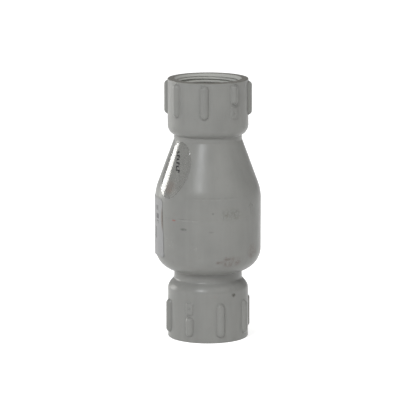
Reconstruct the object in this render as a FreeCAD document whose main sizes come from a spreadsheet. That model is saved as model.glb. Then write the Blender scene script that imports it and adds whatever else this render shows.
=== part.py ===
import FreeCAD, Part
import math
import os
import re
import Sketcher
from FreeCAD import Placement, Rotation, Vector

# In-line spring check valve with 1-1/2 inch female taper-thread ends.
# The valve axis is Z, the origin is the centre of the inlet mouth, and flow goes up.
# An azimuth is measured from the front (-Y), positive towards +X. Lengths are millimetres.

driving_sizes = {
    # outer shells
    "hub_wall": 7.4,
    "inlet_hub_length": 35.4,
    "outlet_hub_length": 33.1,
    "inlet_shoulder_radius": 8.4,
    "outlet_shoulder_radius": 8.1,
    "neck_wall": 4.45,
    "inlet_neck_length": 6.2,
    "outlet_neck_length": 3.45,
    "dome_radius": 18.1,
    "chamber_radius": 38.12,
    "chamber_length": 35.0,
    "cone_blend_radius": 30.6,
    "cone_half_angle": 20.05,
    "mouth_edge_radius": 0.6,
    # passages
    "wall_thickness": 4.7,
    "throat_radius": 20.0,
    "thread_bore_radius": 21.6,
    "thread_bore_length": 25.5,
    "mouth_chamfer": 2.5,
    # cemented joint between the shells
    "seam_height": 24.4,
    "spigot_length": 13.0,
    "socket_wall": 2.3,
    "cement_gap": 0.05,
    "spider_clearance": 0.1,
    # seat
    "seat_lip_height": 1.9,
    "seat_lip_width": 2.0,
    "seat_lip_draft": 0.4,
    # grip ribs
    "rib_radius": 3.0,
    "rib_sink": 0.4,
    "rib_length": 18.4,
    "inlet_rib_margin": 7.4,
    "outlet_rib_margin": 4.7,
    "inlet_rib_azimuth": 18.0,
    "outlet_rib_azimuth": -5.2,
    "rib_spacing": 45.0,
    # plain tablets beside the shortened ribs
    "tablet_width": 5.5,
    "tablet_height": 8.5,
    "tablet_gap": 1.5,
    "tablet_corner": 1.2,
    "tablet_relief": 0.8,
    "tablet_root": 1.5,
    # guide spider
    "spider_ring_height": 4.0,
    "web_thickness": 2.6,
    "web_count": 4,
    "spider_hub_rise": 9.0,
    "spider_hub_length": 16.0,
    "spider_hub_wall": 2.3,
    "web_drop": 2.0,
    "web_shoulder_rise": 6.0,
    "web_poppet_clearance": 4.0,
    "spring_flange_height": 2.4,
    "spring_flange_margin": 0.4,
    # guide bush and stem
    "stem_radius": 5.0,
    "stem_clearance": 0.05,
    "bush_wall": 1.45,
    "bush_flange_width": 1.5,
    "bush_flange_height": 1.2,
    "stem_reach": 3.4,
    "stem_chamfer": 1.0,
    # poppet
    "lift": 12.0,
    "stop_gap": 0.1,
    "poppet_rim_wall": 1.4,
    "poppet_rim_depth": 1.8,
    "poppet_plate": 4.0,
    "stop_boss_step": 1.8,
    "stem_seat_clearance": 0.05,
    "head_slope_height": 1.5,
    "spring_seat_margin": 5.0,
    "seal_thickness": 3.0,
    "seal_overhang": 2.3,
    "seal_bore_radius": 8.0,
    "seal_clearance": 0.1,
    # retainer and its screw
    "retainer_clearance": 2.6,
    "retainer_flange": 2.2,
    "retainer_nose_wall": 2.3,
    "retainer_nose_height": 7.6,
    "screw_radius": 2.4,
    "screw_length": 24.0,
    "screw_clearance": 0.3,
    "screw_head_radius": 4.5,
    "screw_head_height": 2.8,
    "screw_head_sink": 0.8,
    "screw_point": 1.0,
    "cross_width": 1.3,
    "cross_span": 5.0,
    "cross_depth": 1.8,
    "screw_washer_radius": 5.0,
    "screw_washer_height": 0.9,
    # spring
    "spring_wire_radius": 0.6,
    "spring_boss_clearance": 2.0,
    "spring_active_turns": 5,
    "spring_end_gap": 0.1,
    "spring_washer_height": 0.8,
    "spring_washer_margin": 1.6,
    "spring_washer_clearance": 0.4,
    # labels
    "film_thickness": 0.15,
    "oval_label_height": 39.4,
    "oval_label_width": 27.0,
    "oval_label_middle": 19.8,
    "oval_label_azimuth": -50.0,
    "paper_thickness": 0.25,
    "paper_label_height": 42.0,
    "paper_label_span": 52.0,
    "paper_label_azimuth": -83.5,
    "paper_label_drop": 5.2,
}

# Heights and radii that follow from the driving sizes.
derived_sizes = {
    "hub_radius": "thread_bore_radius + hub_wall",
    "neck_radius": "throat_radius + neck_wall",
    "inlet_shoulder_rise":
        "sqrt(inlet_shoulder_radius^2 - (inlet_shoulder_radius + neck_radius - hub_radius)^2)",
    "neck_z": "inlet_hub_length + inlet_shoulder_rise",
    "dome_z": "neck_z + inlet_neck_length",
    "chamber_z": "dome_z + sqrt(dome_radius^2 - (dome_radius + neck_radius - chamber_radius)^2)",
    "cone_z": "chamber_z + chamber_length",
    "blend_rise": "cone_blend_radius * sin(cone_half_angle)",
    "blend_drop": "cone_blend_radius * (1 - cos(cone_half_angle))",
    "straight_cone_z": "cone_z + blend_rise",
    "straight_cone_radius": "chamber_radius - blend_drop",
    "outlet_neck_z": "straight_cone_z + (straight_cone_radius - neck_radius) / tan(cone_half_angle)",
    "outlet_shoulder_z": "outlet_neck_z + outlet_neck_length",
    "outlet_shoulder_rise":
        "sqrt(outlet_shoulder_radius^2 - (outlet_shoulder_radius + neck_radius - hub_radius)^2)",
    "outlet_hub_z": "outlet_shoulder_z + outlet_shoulder_rise",
    "top_z": "outlet_hub_z + outlet_hub_length",
    "bore_radius": "chamber_radius - wall_thickness",
    "mouth_radius": "thread_bore_radius + mouth_chamfer",
    "thread_end": "mouth_chamfer + thread_bore_length",
    "thread_runout": "thread_bore_radius - throat_radius",
    "inner_corner_z":
        "straight_cone_z - (blend_drop + wall_thickness / cos(cone_half_angle) - wall_thickness)"
        " / tan(cone_half_angle)",
    "inner_throat_z": "inner_corner_z + (bore_radius - throat_radius) / tan(cone_half_angle)",
    "seam_z": "chamber_z + seam_height",
    "spigot_z": "seam_z - spigot_length",
    "ledge_z": "spigot_z - spider_ring_height",
    "socket_radius": "chamber_radius - socket_wall",
    "bowl_radius": "dome_radius - wall_thickness",
    "bowl_centre": "chamber_radius - dome_radius",
    "seat_z": "chamber_z - bowl_radius + seat_lip_height",
    "seat_foot": "throat_radius + seat_lip_width + seat_lip_draft",
    "seat_foot_z": "chamber_z - sqrt(bowl_radius^2 - (seat_foot - bowl_centre)^2)",
    "rib_axis_radius": "hub_radius - rib_sink",
    "inlet_rib_low": "inlet_rib_margin",
    "inlet_rib_high": "inlet_rib_margin + rib_length",
    "outlet_rib_high": "top_z - outlet_rib_margin",
    "outlet_rib_low": "outlet_rib_high - rib_length",
    "seal_radius": "throat_radius + seat_lip_width + seal_overhang",
    "poppet_radius": "seal_radius + seal_clearance + poppet_rim_wall",
    "seal_top": "seat_z + seal_thickness",
    "head_top": "seal_top + poppet_plate",
    "spider_hub_z": "spigot_z + spider_hub_rise",
    "spider_hub_top": "spider_hub_z + spider_hub_length",
    "bush_radius": "stem_radius + stem_clearance + bush_wall",
    "spider_hub_radius": "bush_radius + spider_hub_wall",
    "stop_boss_radius": "stem_radius + stop_boss_step",
    "bush_top": "spider_hub_top + bush_flange_height",
    "stem_top": "bush_top + stem_reach",
    "stop_z": "spider_hub_z - lift - stop_gap",
    "nose_z": "seat_z - retainer_nose_height",
    "screw_seat_z": "nose_z + screw_head_sink + screw_head_height + screw_washer_height",
    "screw_end": "screw_seat_z + screw_length",
    "nose_recess_radius": "screw_washer_radius + screw_clearance",
    "spring_mean_radius": "stop_boss_radius + spring_boss_clearance + spring_wire_radius",
    "spring_washer_radius": "spring_mean_radius + spring_wire_radius + spring_washer_margin",
    "spring_flange_radius": "spring_washer_radius + spring_flange_margin",
    "spring_top": "spider_hub_z - spring_washer_height",
    "oval_label_z": "outlet_neck_z - oval_label_middle",
    "paper_label_z": "chamber_z - paper_label_drop",
}


def bound(expression):
    """The expression with derived sizes written out and each driving size read from the sheet."""
    names = re.compile("|".join(rf"\b{name}\b" for name in derived_sizes))
    while names.search(expression):
        expression = names.sub(lambda found: f"({derived_sizes[found.group()]})", expression)
    aliases = re.compile("|".join(rf"\b{name}\b" for name in driving_sizes))
    return aliases.sub(lambda found: f"sizes.{found.group()}", expression)


def value(expression):
    """The expression's present number."""
    return float(sheet.evalExpression(bound(expression)))


def bind(thing, **expressions):
    """Tie properties of a document object to the sheet; a double underscore stands for a dot."""
    for path, expression in expressions.items():
        thing.setExpression(path.replace("__", "."), bound(expression))


# ---- the document and its sheet ------------------------------------------------------------------

doc = FreeCAD.newDocument("check_valve")
sheet = doc.addObject("Spreadsheet::Sheet", "sizes")
for row, (alias, number) in enumerate(driving_sizes.items(), start=1):
    sheet.set(f"A{row}", alias.replace("_", " "))
    sheet.set(f"B{row}", str(number))
    sheet.setAlias(f"B{row}", alias)
doc.recompute()


# ---- sketches and features ------------------------------------------------------------------------

def add_body(name):
    body = doc.addObject("PartDesign::Body", name)
    body.Label = name
    return body


def origin_part(body, role):
    return next(item for item in body.Origin.OriginFeatures if item.Role == role)


def add_sketch(body, name, azimuth=None, out="0", plane="XZ_Plane"):
    """A sketch on the body's XZ plane, or turned about the axis to face an azimuth at a distance out."""
    sketch = body.newObject("Sketcher::SketchObject", name)
    sketch.AttachmentSupport = [(origin_part(body, plane), "")]
    sketch.MapMode = "FlatFace"
    if azimuth is not None:
        sketch.AttachmentOffset = Placement(Vector(0, 0, 0), Rotation(Vector(0, 1, 0), value(azimuth)))
        bind(
            sketch,
            AttachmentOffset__Rotation__Angle=azimuth,
            AttachmentOffset__Base__x=f"({out}) * sin({azimuth})",
            AttachmentOffset__Base__z=f"({out}) * cos({azimuth})",
        )
    return sketch


def arc_edge(start, end, radius, turn):
    """The short arc from start to end, bending left or right, and the numbers of its two ends."""
    chord = end - start
    left = Vector(-chord.y, chord.x, 0).normalize()
    side = 1 if turn == "left" else -1
    depth = math.sqrt(radius ** 2 - (chord.Length / 2) ** 2)
    centre = start + chord * 0.5 + left * (side * depth)
    first, last = (start, end) if turn == "left" else (end, start)
    angles = [math.atan2(point.y - centre.y, point.x - centre.x) for point in (first, last)]
    circle = Part.Circle(centre, Vector(0, 0, 1), radius)
    return Part.ArcOfCircle(circle, *angles), (1, 2) if turn == "left" else (2, 1)


def pin_point(sketch, edge, end, axis, expression):
    """Hold one coordinate of an edge's end at an expression."""
    number = value(expression)
    ends = (-1, 1, edge, end) if number >= 0 else (edge, end, -1, 1)
    index = sketch.addConstraint(Sketcher.Constraint(f"Distance{axis}", *ends, abs(number)))
    signed = expression if number >= 0 else f"-({expression})"
    sketch.setExpression(f"Constraints[{index}]", bound(signed))


def draw_loop(sketch, corners):
    """A closed outline. A corner is (x, y), or (x, y, radius, turn) where an arc leaves it."""
    points = [Vector(value(corner[0]), value(corner[1]), 0) for corner in corners]
    ends = []
    for index, corner in enumerate(corners):
        start, end = points[index], points[(index + 1) % len(corners)]
        if len(corner) == 4:
            edge, order = arc_edge(start, end, value(corner[2]), corner[3])
        else:
            edge, order = Part.LineSegment(start, end), (1, 2)
        ends.append((sketch.addGeometry(edge), *order))
    for index, corner in enumerate(corners):
        edge, first, last = ends[index]
        following, following_first, _ = ends[(index + 1) % len(corners)]
        sketch.addConstraint(Sketcher.Constraint("Coincident", edge, last, following, following_first))
        pin_point(sketch, edge, first, "X", corner[0])
        pin_point(sketch, edge, first, "Y", corner[1])
        if len(corner) == 4:
            radius = sketch.addConstraint(Sketcher.Constraint("Radius", edge, value(corner[2])))
            sketch.setExpression(f"Constraints[{radius}]", bound(corner[2]))


def revolve(body, name, corners, **place):
    """Turn an outline about its sketch's vertical axis and add it to the body."""
    sketch = add_sketch(body, f"{name}_outline", **place)
    draw_loop(sketch, corners)
    feature = body.newObject("PartDesign::Revolution", name)
    feature.Profile = sketch
    feature.ReferenceAxis = (sketch, ["V_Axis"])
    feature.Angle = 360
    return feature


def pattern(body, name, features, count, sweep):
    """Repeat features about the valve axis, the last one a sweep of degrees from the first."""
    copies = body.newObject("PartDesign::PolarPattern", name)
    copies.Originals = features
    copies.Axis = (origin_part(body, "Z_Axis"), [""])
    bind(copies, Occurrences=count, Angle=sweep)
    body.Tip = copies
    return copies


def ring(name, inner, outer, low, high):
    """A plain round ring, or a disc where the inner radius is nothing."""
    body = add_body(name)
    revolve(body, f"{name}_ring", [(inner, low), (outer, low), (outer, high), (inner, high)])
    return body


# ---- the two shells -------------------------------------------------------------------------------

def add_rib(body, name, azimuth, low, high):
    """A capsule-shaped rib half sunk in the hub, its end balls centred at the heights low and high."""
    corners = [
        ("0", f"{low} - rib_radius", "rib_radius", "left"),
        ("rib_radius", low),
        ("rib_radius", high, "rib_radius", "left"),
        ("0", f"{high} + rib_radius"),
    ]
    return revolve(body, name, corners, azimuth=azimuth, out="rib_axis_radius")


def add_tablet(body, azimuth, low):
    """A plain raised tablet with round corners, standing on the hub."""
    half, corner = "tablet_width / 2", "tablet_corner"
    high = f"{low} + tablet_height"
    sketch = add_sketch(body, "tablet_outline", azimuth=azimuth, out="hub_radius - tablet_root")
    draw_loop(sketch, [
        (f"-{half} + {corner}", low),
        (f"{half} - {corner}", low, corner, "left"),
        (half, f"{low} + {corner}"),
        (half, f"{high} - {corner}", corner, "left"),
        (f"{half} - {corner}", high),
        (f"-{half} + {corner}", high, corner, "left"),
        (f"-{half}", f"{high} - {corner}"),
        (f"-{half}", f"{low} + {corner}", corner, "left"),
    ])
    pad = body.newObject("PartDesign::Pad", "tablet")
    pad.Profile = sketch
    bind(pad, Length="tablet_root + tablet_relief")
    return pad


def add_grip(body, azimuth, low, high, short_azimuth, short_low, short_high, tablet_low):
    """Seven full ribs, the shortened eighth and the tablet that fills its place."""
    rib = add_rib(body, "rib", azimuth, low, high)
    pattern(body, "ribs", [rib], "360 / rib_spacing - 1", "360 - 2 * rib_spacing")
    add_rib(body, "short_rib", short_azimuth, short_low, short_high)
    add_tablet(body, short_azimuth, tablet_low)


def make_inlet_body():
    body = add_body("inlet_body")
    revolve(body, "shell", [
        ("mouth_radius", "0"),
        ("hub_radius - mouth_edge_radius", "0", "mouth_edge_radius", "left"),
        ("hub_radius", "mouth_edge_radius"),
        ("hub_radius", "inlet_hub_length", "inlet_shoulder_radius", "left"),
        ("neck_radius", "neck_z"),
        ("neck_radius", "dome_z", "dome_radius", "left"),
        ("chamber_radius", "chamber_z"),
        ("chamber_radius", "seam_z"),
        ("socket_radius", "seam_z"),
        ("socket_radius", "ledge_z"),
        ("bore_radius", "ledge_z"),
        ("bore_radius", "chamber_z", "bowl_radius", "right"),
        ("seat_foot", "seat_foot_z"),
        ("throat_radius + seat_lip_width", "seat_z"),
        ("throat_radius", "seat_z"),
        ("throat_radius", "thread_end + thread_runout"),
        ("thread_bore_radius", "thread_end"),
        ("thread_bore_radius", "mouth_chamfer"),
    ])
    add_grip(
        body,
        azimuth="inlet_rib_azimuth",
        low="inlet_rib_low",
        high="inlet_rib_high",
        short_azimuth="inlet_rib_azimuth - rib_spacing",
        short_low="inlet_rib_low",
        short_high="inlet_rib_high - tablet_height - tablet_gap",
        tablet_low="inlet_rib_high + rib_radius - tablet_height",
    )
    return body


def make_outlet_body():
    body = add_body("outlet_body")
    revolve(body, "shell", [
        ("bore_radius", "spigot_z"),
        ("socket_radius - cement_gap", "spigot_z"),
        ("socket_radius - cement_gap", "seam_z"),
        ("chamber_radius", "seam_z"),
        ("chamber_radius", "cone_z", "cone_blend_radius", "left"),
        ("straight_cone_radius", "straight_cone_z"),
        ("neck_radius", "outlet_neck_z"),
        ("neck_radius", "outlet_shoulder_z", "outlet_shoulder_radius", "left"),
        ("hub_radius", "outlet_hub_z"),
        ("hub_radius", "top_z - mouth_edge_radius", "mouth_edge_radius", "left"),
        ("hub_radius - mouth_edge_radius", "top_z"),
        ("mouth_radius", "top_z"),
        ("thread_bore_radius", "top_z - mouth_chamfer"),
        ("thread_bore_radius", "top_z - thread_end"),
        ("throat_radius", "top_z - thread_end - thread_runout"),
        ("throat_radius", "inner_throat_z"),
        ("bore_radius", "inner_corner_z"),
    ])
    add_grip(
        body,
        azimuth="outlet_rib_azimuth + 2 * rib_spacing",
        low="outlet_rib_low",
        high="outlet_rib_high",
        short_azimuth="outlet_rib_azimuth + rib_spacing",
        short_low="outlet_rib_low + tablet_height + tablet_gap",
        short_high="outlet_rib_high",
        tablet_low="outlet_rib_low - rib_radius",
    )
    return body


# ---- the guide -------------------------------------------------------------------------------------

def make_guide_spider():
    """A ring clamped between the shells, and arched webs that carry the stem's hub."""
    body = add_body("guide_spider")
    revolve(body, "ring", [
        ("bore_radius", "ledge_z"),
        ("socket_radius - spider_clearance", "ledge_z"),
        ("socket_radius - spider_clearance", "spigot_z"),
        ("bore_radius", "spigot_z"),
    ])
    revolve(body, "hub", [
        ("bush_radius", "spider_hub_z"),
        ("spring_flange_radius", "spider_hub_z"),
        ("spring_flange_radius", "spider_hub_z + spring_flange_height"),
        ("spider_hub_radius", "spider_hub_z + 2 * spring_flange_height"),
        ("spider_hub_radius", "spider_hub_top"),
        ("bush_radius", "spider_hub_top"),
    ])
    ring_middle = "(bore_radius + socket_radius) / 2"
    hub_middle = "(bush_radius + spider_hub_radius) / 2"
    sketch = add_sketch(body, "web_outline")
    draw_loop(sketch, [
        (hub_middle, "spider_hub_z + spring_flange_height / 2"),
        ("spring_flange_radius", "spider_hub_z + spring_flange_height / 2"),
        ("poppet_radius + web_poppet_clearance", "ledge_z + spider_ring_height / 2"),
        (ring_middle, "ledge_z + spider_ring_height / 4"),
        (ring_middle, "spigot_z - spider_ring_height / 8"),
        ("bore_radius - spider_clearance", "spigot_z"),
        ("poppet_radius", "spigot_z + web_shoulder_rise"),
        (hub_middle, "spider_hub_top - web_drop"),
    ])
    web = body.newObject("PartDesign::Pad", "web")
    web.Profile = sketch
    web.Midplane = True
    bind(web, Length="web_thickness")
    pattern(body, "webs", [web], "web_count", "360")
    return body


def make_guide_bush():
    """A flanged plastic bush pushed into the spider's hub from above."""
    body = add_body("guide_bush")
    revolve(body, "bush", [
        ("stem_radius + stem_clearance", "spider_hub_z"),
        ("bush_radius", "spider_hub_z"),
        ("bush_radius", "spider_hub_top"),
        ("bush_radius + bush_flange_width", "spider_hub_top"),
        ("bush_radius + bush_flange_width", "bush_top"),
        ("stem_radius + stem_clearance", "bush_top"),
    ])
    return body


# ---- the poppet and what rides with it --------------------------------------------------------------

def make_poppet():
    """The moulded head: a plate with the seal's recess, bored for the stem's foot."""
    recess = "seal_radius + seal_clearance"
    bore = "stem_radius + stem_seat_clearance"
    body = add_body("poppet")
    revolve(body, "head", [
        (bore, "seal_top"),
        (recess, "seal_top"),
        (recess, "seal_top - poppet_rim_depth"),
        ("poppet_radius", "seal_top - poppet_rim_depth"),
        ("poppet_radius", "head_top - head_slope_height"),
        ("spring_mean_radius + spring_wire_radius + spring_seat_margin", "head_top"),
        (bore, "head_top"),
    ])
    return body


def make_poppet_stem():
    """The stem with its stop boss, which sits on the head, bored for the retainer's screw."""
    body = add_body("poppet_stem")
    revolve(body, "stem", [
        ("screw_radius", "seal_top"),
        ("stem_radius", "seal_top"),
        ("stem_radius", "head_top"),
        ("stop_boss_radius", "head_top"),
        ("stop_boss_radius", "stop_z"),
        ("stem_radius", "stop_z"),
        ("stem_radius", "stem_top - stem_chamfer"),
        ("stem_radius - stem_chamfer", "stem_top"),
        ("0", "stem_top"),
        ("0", "screw_end"),
        ("screw_radius", "screw_end"),
    ])
    return body


def make_seal_retainer():
    """The streamlined nose that clamps the seal against the head."""
    body = add_body("seal_retainer")
    hole = "screw_radius + screw_clearance"
    revolve(body, "nose", [
        (hole, "screw_seat_z"),
        ("nose_recess_radius", "screw_seat_z"),
        ("nose_recess_radius", "nose_z"),
        ("nose_recess_radius + retainer_nose_wall", "nose_z"),
        ("throat_radius - retainer_clearance", "seat_z - retainer_flange"),
        ("throat_radius - retainer_clearance", "seat_z"),
        ("seal_bore_radius", "seat_z"),
        ("seal_bore_radius", "seal_top"),
        (hole, "seal_top"),
    ])
    return body


def make_retainer_screw():
    """A pan-head screw driven upwards, with a cross recess in its head."""
    under_head = "screw_seat_z - screw_washer_height"
    bottom = f"{under_head} - screw_head_height"
    crown = "screw_head_height * 2 / 3"
    body = add_body("retainer_screw")
    revolve(body, "screw", [
        ("0", bottom),
        (f"screw_head_radius - {crown}", bottom, crown, "left"),
        ("screw_head_radius", f"{bottom} + {crown}"),
        ("screw_head_radius", under_head),
        ("screw_radius", under_head),
        ("screw_radius", "screw_end - screw_point"),
        ("screw_radius - screw_point", "screw_end"),
        ("0", "screw_end"),
    ])
    sketch = add_sketch(body, "cross_outline", plane="XY_Plane")
    sketch.setExpression("AttachmentOffset.Base.z", bound(bottom))
    arm, half = "cross_span / 2", "cross_width / 2"
    quarter = [(arm, f"-{half}"), (arm, half), (half, half)]
    corners = []
    for _ in range(4):
        corners += quarter
        quarter = [(f"-({y})", x) for x, y in quarter]
    draw_loop(sketch, corners)
    cross = body.newObject("PartDesign::Pocket", "cross")
    cross.Profile = sketch
    cross.Reversed = True
    bind(cross, Length="cross_depth")
    return body


def make_spring():
    """A round-wire compression spring with closed end turns, between the head and the upper washer.

    Each half turn is a semicircle in a tilted plane, level where it meets the next one.
    """
    radius = value("spring_mean_radius")
    height = value("head_top + spring_wire_radius")
    top = value("spring_top - spring_wire_radius")
    active_halves = 2 * round(value("spring_active_turns"))
    end_rise = value("spring_wire_radius + spring_end_gap / 2")
    active_rise = (top - height - 4 * end_rise) / active_halves
    edges = []
    side = 1
    for rise in [end_rise] * 2 + [active_rise] * active_halves + [end_rise] * 2:
        start = Vector(side * radius, 0, height)
        middle = Vector(0, side * math.hypot(radius, rise / 2), height + rise / 2)
        end = Vector(-side * radius, 0, height + rise)
        edges.append(Part.Arc(start, middle, end).toShape())
        height += rise
        side = -side
    spine = doc.addObject("Part::Feature", "spring_line")
    spine.Shape = Part.Wire(edges)
    section = doc.addObject("Part::Circle", "spring_section")
    section.Placement = Placement(Vector(0, 0, 0), Rotation(Vector(1, 0, 0), 90))
    bind(
        section,
        Radius="spring_wire_radius",
        Placement__Base__x="spring_mean_radius",
        Placement__Base__z="head_top + spring_wire_radius",
    )
    spring = doc.addObject("Part::Sweep", "spring")
    spring.Sections = [section]
    spring.Spine = spine
    spring.Solid = True
    return spring


# ---- the labels ---------------------------------------------------------------------------------------

def make_oval_label():
    """A clear oval film that lies on the cone and the blend below it."""
    film = add_body("film")
    rise, out = "film_thickness * sin(cone_half_angle)", "film_thickness * cos(cone_half_angle)"
    revolve(film, "film_ring", [
        ("chamber_radius + film_thickness", "cone_z", "cone_blend_radius + film_thickness", "left"),
        (f"straight_cone_radius + {out}", f"straight_cone_z + {rise}"),
        (f"neck_radius + {out}", f"outlet_neck_z + {rise}"),
        ("neck_radius", "outlet_neck_z"),
        ("straight_cone_radius", "straight_cone_z", "cone_blend_radius", "right"),
        ("chamber_radius", "cone_z"),
    ])
    oval = doc.addObject("Part::Ellipse", "oval")
    oval.Placement = Placement(Vector(0, 0, 0), Rotation(Vector(0, 1, 0), -90))
    bind(
        oval,
        MajorRadius="oval_label_height / 2",
        MinorRadius="oval_label_width / 2",
        Placement__Base__z="oval_label_z",
    )
    column = doc.addObject("Part::Extrusion", "oval_column")
    column.Base = oval
    column.Dir = Vector(-1, 0, 0)
    column.Solid = True
    bind(column, LengthFwd="chamber_radius")
    column.Placement = Placement(Vector(0, 0, 0), Rotation(Vector(0, 0, 1), 90))
    bind(column, Placement__Rotation__Angle="90 + oval_label_azimuth")
    label = doc.addObject("Part::Common", "oval_label")
    label.Base, label.Tool = film, column
    return label


def make_paper_label():
    """A stiff paper label bent round the chamber; its lower edge stands clear over the dome."""
    sheets = []
    for name, extra in (("paper_outside", "paper_thickness"), ("paper_inside", "0")):
        column = doc.addObject("Part::Cylinder", name)
        column.Placement = Placement(Vector(0, 0, 0), Rotation(Vector(0, 0, 1), 90))
        bind(
            column,
            Radius=f"chamber_radius + {extra}",
            Height="paper_label_height",
            Angle="paper_label_span",
            Placement__Base__z="paper_label_z",
            Placement__Rotation__Angle="paper_label_azimuth - 90 - paper_label_span / 2 + 360",
        )
        sheets.append(column)
    label = doc.addObject("Part::Cut", "paper_label")
    label.Base, label.Tool = sheets
    return label


# ---- build, check and write --------------------------------------------------------------------------

sub_parts = [
    make_inlet_body(),
    make_outlet_body(),
    make_guide_spider(),
    make_guide_bush(),
    make_poppet(),
    make_poppet_stem(),
    ring("poppet_seal", "seal_bore_radius", "seal_radius", "seat_z", "seal_top"),
    make_seal_retainer(),
    make_retainer_screw(),
    ring(
        "screw_washer",
        "screw_radius + screw_clearance / 2",
        "screw_washer_radius",
        "screw_seat_z - screw_washer_height",
        "screw_seat_z",
    ),
    make_spring(),
    ring(
        "spring_washer",
        "stop_boss_radius + spring_washer_clearance",
        "spring_washer_radius",
        "spring_top",
        "spider_hub_z",
    ),
    make_oval_label(),
    make_paper_label(),
]
doc.recompute()

for item in doc.Objects:
    if "Invalid" in item.State or "Error" in item.State:
        raise RuntimeError(f"{item.Name} did not compute: {item.State}")
for part in sub_parts:
    if part.Shape.isNull() or not part.Shape.isValid():
        raise RuntimeError(f"{part.Label} has no valid shape")

os.makedirs("parts", exist_ok=True)
for part in sub_parts:
    part.Shape.exportStep(f"parts/{part.Label}.step")
    box = part.Shape.BoundBox
    print(f"{part.Label}: {len(part.Shape.Solids)} solid, {part.Shape.Volume:.0f} mm3,"
          f" z {box.ZMin:.2f} to {box.ZMax:.2f}")
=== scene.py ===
import math
import bmesh
import bpy
import numpy as np
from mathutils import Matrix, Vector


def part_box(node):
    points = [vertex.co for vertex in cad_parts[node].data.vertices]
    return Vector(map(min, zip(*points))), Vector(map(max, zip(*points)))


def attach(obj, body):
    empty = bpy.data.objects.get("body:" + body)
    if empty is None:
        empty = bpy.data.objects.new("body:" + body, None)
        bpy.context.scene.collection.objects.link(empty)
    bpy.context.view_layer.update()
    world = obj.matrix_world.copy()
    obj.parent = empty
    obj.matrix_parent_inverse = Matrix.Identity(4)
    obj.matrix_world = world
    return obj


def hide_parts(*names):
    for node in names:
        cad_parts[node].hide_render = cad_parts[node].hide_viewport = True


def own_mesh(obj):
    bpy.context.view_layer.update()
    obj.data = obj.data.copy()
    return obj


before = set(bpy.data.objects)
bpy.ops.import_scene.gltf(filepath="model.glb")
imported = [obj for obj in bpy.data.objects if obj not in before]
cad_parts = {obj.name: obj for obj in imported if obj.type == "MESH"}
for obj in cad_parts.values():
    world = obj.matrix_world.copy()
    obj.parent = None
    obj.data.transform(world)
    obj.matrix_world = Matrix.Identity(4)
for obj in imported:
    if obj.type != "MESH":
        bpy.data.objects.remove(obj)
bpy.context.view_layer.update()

# A grey plastic in-line spring check valve, standing on its inlet.
# Sizes are in millimetres until a mesh is made. An azimuth is measured from the front (-Y),
# positive towards +X, and a height from the inlet mouth.

mm = 0.001
# metres within which points are merged and slivers dissolved
mergeReach = {"grid": 1.5e-6, "sliver": 1e-6, "packed": 2e-6}
latheSteps = {"runStep": 3.0, "arcTurn": 15.0}
latheSegments = 128
# a corner's rounding as a share of its arc, a little short so that its neighbours have room
roundingShare = 0.93


def nodeBox(node):
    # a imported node's lowest and highest corners, in millimetres
    low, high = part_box(node)
    return np.array(low) / mm, np.array(high) / mm


def cylinderPoints(azimuth, radius, height):
    # a point at an azimuth, a radius and a height: x = r sin a, y = -r cos a, z = height
    parts = np.broadcast_arrays(radius * np.sin(azimuth), -radius * np.cos(azimuth), height)
    return np.stack(parts, axis=-1)


def roundedPath(corners, runStep=2.5, arcTurn=7.0):
    # an open outline of straight runs, where each corner (radius, height, rounding) is an arc
    # tangent to both of its runs; the tangent length is rounding * tan(turn / 2)
    places = np.array([corner[:2] for corner in corners], float)
    runs = np.diff(places, axis=0)
    lengths = np.hypot(runs[:, 0], runs[:, 1])
    ways = runs / lengths[:, None]
    pieces = [places[:1]]
    for index in range(1, len(corners)):
        step = corners[index][3] if len(corners[index]) > 3 else runStep
        start = pieces[-1][-1]
        rounding = corners[index][2] if index < len(corners) - 1 else 0.0
        if rounding <= 0.0:
            arc = places[index:index + 1]
        else:
            before = ways[index - 1]
            after = ways[index]
            turn = math.atan2(before[0] * after[1] - before[1] * after[0], before @ after)
            reach = rounding * math.tan(abs(turn) / 2)
            side = np.array([-before[1], before[0]]) * math.copysign(1.0, turn)
            first = places[index] - before * reach
            middle = first + side * rounding
            count = max(2, math.ceil(math.degrees(abs(turn)) / arcTurn))
            swing = np.linspace(0.0, abs(turn), count + 1)[:, None]
            arc = middle + rounding * (before * np.sin(swing) - side * np.cos(swing))
        gap = np.hypot(*(arc[0] - start))
        count = max(1, math.ceil(gap / step))
        share = np.linspace(0.0, 1.0, count + 1)[1:-1, None]
        pieces.append(start + (arc[0] - start) * share)
        pieces.append(arc)
    path = np.concatenate(pieces)
    apart = np.hypot(*np.diff(path, axis=0).T) > 1e-4
    return path[np.concatenate(([True], apart))]


def wallCorner(wallRadius, arcRadius, endRadius, level, way):
    # an arc that leaves an upright wall at a level and ends at another radius, as the corner
    # that it rounds: the corner is arc radius * tan(swing / 2) past the level
    swing = math.acos((endRadius - wallRadius + arcRadius) / arcRadius)
    corner = (wallRadius, level + way * arcRadius * math.tan(swing / 2), arcRadius * roundingShare)
    return corner, level + way * arcRadius * math.sin(swing)


def easeCrease(path, level, reach, passes):
    # melts a crease of an outline: each point moves towards the mean of its neighbours by a
    # share of 0.5 * exp(-(distance from the level / reach)^2)
    near = np.exp(-((path[1:-1, 1:] - level) / reach) ** 2) * 0.5
    for _ in range(passes):
        path[1:-1] += near * (0.5 * (path[:-2] + path[2:]) - path[1:-1])
    return path


def softMax(first, second, blend):
    # the larger of two heights, with the step between them rounded over a blend width
    share = np.clip(0.5 + 0.5 * (first - second) / blend, 0.0, 1.0)
    return second + (first - second) * share + blend * share * (1.0 - share)


def easeStep(value):
    # 0 below 0, 1 above 1, and a smooth rise between
    value = np.clip(value, 0.0, 1.0)
    return value * value * (3.0 - 2.0 * value)


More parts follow.
